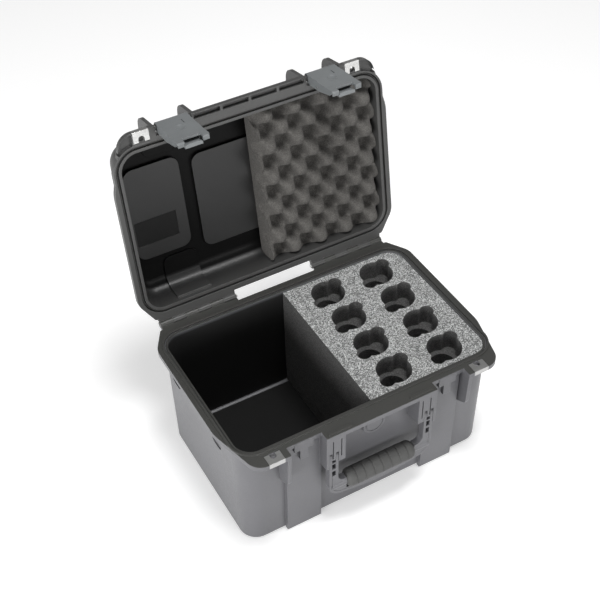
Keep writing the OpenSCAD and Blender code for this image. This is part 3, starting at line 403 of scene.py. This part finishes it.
# a copy of the foam with finer cells, for cut faces, painted darker as shade
shadedCutFoamLook = {"cells": 900, "fineCells": 2000, "stops": (0.2, 0.5, 0.8),
               "colours": ((0.045, 0.045, 0.045), (0.075, 0.074, 0.073), (0.12, 0.119, 0.117)),
               "unevenness": 0.12, "depth": 0.5, "pitDepth": 0.0005, "sheen": 0.04}
lidFoamLook = {"cells": 900, "fineCells": 2400, "stops": (0.2, 0.5, 0.8),
               "colours": ((0.055, 0.0525, 0.049), (0.08, 0.077, 0.072), (0.11, 0.105, 0.099)),
               "unevenness": 0.08, "depth": 0.4, "pitDepth": 0.0004, "sheen": 0.03}

casePlastic = makePlastic("casePlastic", caseLook)
shadedLidPlastic = makePlastic("shadedLidPlastic", shadedLidLook)
latchNylon = makePlastic("latchNylon", latchLook)
gripRubber = makePlastic("gripRubber", gripLook)
sealRubber = makePlastic("sealRubber", sealLook)
nutNylon = makePlastic("nutNylon", nutLook)
haspSteel = makeSteel("haspSteel", haspLook)
pinSteel = makeSteel("pinSteel", pinLook)
blockFoam = makeFoam("blockFoam", blockFoamLook)
shadedCutFoam = makeFoam("shadedCutFoam", shadedCutFoamLook)
lidFoam = makeFoam("lidFoam", lidFoamLook)

dress(casePlastic, "base_shell", "handle_frame", "pressure_valve")
dress(shadedLidPlastic, "lid_shell")
dress(gripRubber, "handle_grip")
dress(sealRubber, "lid_seal")
dress(nutNylon, "valve_nut")
for side in ("left", "right"):
    dress(latchNylon, "latch_" + side, "trigger_" + side)
    dress(haspSteel, "base_hasp_" + side, "lid_hasp_" + side)
    dress(pinSteel, "hinge_pin_" + side, "latch_pin_" + side, "trigger_pin_" + side, "trigger_spring_" + side,
          "handle_pin_" + side)
print("finishes made")


# the foam block beside the cable compartment
blockCut = {"edge": 0.0011, "segments": 2, "bevelFrom": 35, "sharp": 30, "join": 0.00001, "flat": 0.5,
            "topFacing": 0.7, "topAbove": 0.18}


def cleanCopy(name):  # a node's triangles joined up into whole faces
    shape = bmesh.new()
    shape.from_mesh(nodes[name].data)
    bmesh.ops.remove_doubles(shape, verts=shape.verts[:], dist=blockCut["join"])
    bmesh.ops.dissolve_limit(shape, angle_limit=math.radians(blockCut["flat"]), verts=shape.verts[:],
                             edges=shape.edges[:])
    return shape


def finishFoam(piece, body, slot, *stands):
    smoothFaces(piece.data, blockCut["sharp"])
    soften = piece.modifiers.new("cut edges", "BEVEL")
    soften.width = blockCut["edge"]
    soften.segments = blockCut["segments"]
    soften.limit_method = "ANGLE"
    soften.angle_limit = math.radians(blockCut["bevelFrom"])
    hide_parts(*stands)
    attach(piece, body)


def makeFoamBlock():
    upper = addPiece("foamUpper", cleanCopy("foam_head_layer"))
    lower = addPiece("foamBlock", cleanCopy("foam_body_layer"))
    glued = lower.modifiers.new("glued", "BOOLEAN")
    glued.operation = "UNION"
    glued.object = upper
    glued.solver = "EXACT"
    bpy.context.view_layer.update()
    whole = bpy.data.meshes.new_from_object(lower.evaluated_get(bpy.context.evaluated_depsgraph_get()))
    lower.modifiers.clear()
    lower.data = whole
    bpy.data.objects.remove(upper)
    whole.materials.clear()
    whole.materials.append(blockFoam)
    whole.materials.append(shadedCutFoam)
    # faces that do not face up take the darker copy: painted shade
    for face in whole.polygons:
        onTop = face.normal.z > blockCut["topFacing"] and face.center.z > blockCut["topAbove"]
        face.material_index = 0 if onTop else 1
    finishFoam(lower, "base", "block_foam", "foam_head_layer", "foam_body_layer")


def makeFoamFoot():
    foot = addPiece("foamFoot", cleanCopy("foam_foot_layer"))
    # the foot is all in the darker copy: painted shade
    foot.data.materials.append(shadedCutFoam)
    finishFoam(foot, "base", "block_foam", "foam_foot_layer")


makeFoamBlock()
makeFoamFoot()
print("foam block made")

# the egg-crate foam in the lid, in millimetres with the lid closed
eggCrate = {"x": (6.0, 204.9), "y": (-128.9, 128.9), "corner": 26.4, "back": 245.1, "middle": 217.5,
            "wave": 14.5, "steepness": 1.7, "pitchX": 23.4, "pitchY": 25.8, "peak": (3.0, 14.2),
            "step": 1.9, "sharp": 50}
toMetres = 0.001


def waveAt(x, y):  # 1 on a peak and -1 in a valley, with steep sides between
    peakX, peakY = eggCrate["peak"]
    wave = (math.cos(math.pi * (x - peakX) / eggCrate["pitchX"])
            * math.cos(math.pi * (y - peakY) / eggCrate["pitchY"]))
    return math.tanh(eggCrate["steepness"] * wave) / math.tanh(eggCrate["steepness"])


def makeLidFoam():
    x0, x1 = eggCrate["x"]
    y0, y1 = eggCrate["y"]
    shape = bmesh.new()
    bmesh.ops.create_grid(shape, x_segments=round((x1 - x0) / eggCrate["step"]),
                          y_segments=round((y1 - y0) / eggCrate["step"]), size=0.5)
    bmesh.ops.scale(shape, vec=(x1 - x0, y1 - y0, 1), verts=shape.verts[:])
    bmesh.ops.translate(shape, vec=((x0 + x1) / 2, (y0 + y1) / 2, 0), verts=shape.verts[:])
    r = eggCrate["corner"]
    for vert in shape.verts:
        along, across = vert.co.x - (x1 - r), abs(vert.co.y) - (y1 - r)
        if along > 0 and across > 0:  # the two right-hand corners follow the lid's rounded ones
            pull = max(along, across) / math.hypot(along, across)
            vert.co.x = x1 - r + along * pull
            vert.co.y = math.copysign(y1 - r + across * pull, vert.co.y)
        vert.co.z = eggCrate["middle"] - eggCrate["wave"] * waveAt(vert.co.x, vert.co.y)
    rim = [edge for edge in shape.edges if edge.is_boundary]
    walls = bmesh.ops.extrude_edge_only(shape, edges=rim)
    low = [part for part in walls["geom"] if isinstance(part, bmesh.types.BMVert)]
    for vert in low:
        vert.co.z = eggCrate["back"]
    bmesh.ops.contextual_create(shape, geom=[edge for edge in shape.edges if edge.is_boundary])
    bmesh.ops.recalc_face_normals(shape, faces=shape.faces[:])
    bmesh.ops.scale(shape, vec=(toMetres, toMetres, toMetres), verts=shape.verts[:])
    bmesh.ops.transform(shape, matrix=lidTurn, verts=shape.verts[:])
    piece = addPiece("lidFoamSheet", shape)
    piece.data.materials.append(lidFoam)
    smoothFaces(piece.data, eggCrate["sharp"])
    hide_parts("lid_foam")
    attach(piece, "lid")


makeLidFoam()
print("lid foam made")

# floor, light and camera
studio = {"floorReach": 15, "floorLift": 0.33, "sky": 0.3, "aim": (0, 0, 0.15),
          "floor": {"Base Color": (0.86, 0.86, 0.86, 1), "Roughness": 0.9, "Specular IOR Level": 0.1,
                    "Emission Color": (1, 1, 1, 1)},
          "panels": {"top": ((0.1, -0.3, 2.6), (0.8, 0.7), 42), "front": ((0.3, -2.8, 0.5), (3.4, 0.8), 40),
                     "left": ((-2.6, -0.9, 0.6), (2.2, 1.0), 66)}}


def makeFloor():
    shape = bmesh.new()
    bmesh.ops.create_grid(shape, x_segments=1, y_segments=1, size=studio["floorReach"])
    floor = addPiece("floor", shape)
    material, tree, shader = startMaterial("paleFloor", studio["floor"])
    seen = addNode(tree, "ShaderNodeLightPath", 0, -400)
    either = reckon(tree, "MAXIMUM", 200, -400, seen.outputs["Is Camera Ray"], seen.outputs["Is Glossy Ray"])
    lift = reckon(tree, "MULTIPLY", 400, -400, either, studio["floorLift"])
    joinUp(tree, (lift, shader.inputs["Emission Strength"]))
    floor.data.materials.append(material)


def makeSky():
    world = bpy.data.worlds.new("studio")
    scene.world = world
    world.use_nodes = True
    tree = world.node_tree
    back = tree.nodes["Background"]
    back.inputs["Color"].default_value = (1, 1, 1, 1)
    seen = addNode(tree, "ShaderNodeLightPath", -600, 200)
    shade = addNode(tree, "ShaderNodeMix", -200, 200, {"A": studio["sky"], "B": 1}, data_type="FLOAT")
    joinUp(tree, (seen.outputs["Is Camera Ray"], shade.inputs["Factor"]),
           (shade.outputs["Result"], back.inputs["Strength"]))


def makeLamps():
    for name, (place, size, power) in studio["panels"].items():
        lamp = bpy.data.lights.new(name, "AREA")
        lamp.shape = "RECTANGLE"
        lamp.size, lamp.size_y = size
        lamp.energy = power
        holder = bpy.data.objects.new(name, lamp)
        holder.location = place
        holder.rotation_euler = (Vector(studio["aim"]) - Vector(place)).to_track_quat("-Z", "Y").to_euler()
        scene.collection.objects.link(holder)


view = {"target": (-0.03331, 0.01373, 0.29226), "azimuth": -28.69, "elevation": 43.55, "roll": -1.26,
        "distance": 1.6502, "lens": 69.73, "sensor": 36}


def makeCamera():
    a, e, r = (math.radians(view[k]) for k in ("azimuth", "elevation", "roll"))
    back = Vector((math.sin(a) * math.cos(e), -math.cos(a) * math.cos(e), math.sin(e)))
    side = Vector((math.cos(a), math.sin(a), 0))
    up = back.cross(side)
    across = math.cos(r) * side + math.sin(r) * up
    upright = -math.sin(r) * side + math.cos(r) * up
    lens = bpy.data.cameras.new("camera")
    lens.lens = view["lens"]
    lens.sensor_width = view["sensor"]
    camera = bpy.data.objects.new("camera", lens)
    place = Vector(view["target"]) + back * view["distance"]
    camera.matrix_world = Matrix.Translation(place) @ Matrix((across, upright, back)).transposed().to_4x4()
    scene.collection.objects.link(camera)
    scene.camera = camera


makeFloor()
makeSky()
makeLamps()
makeCamera()
scene.view_settings.view_transform = "Standard"
print("studio made")
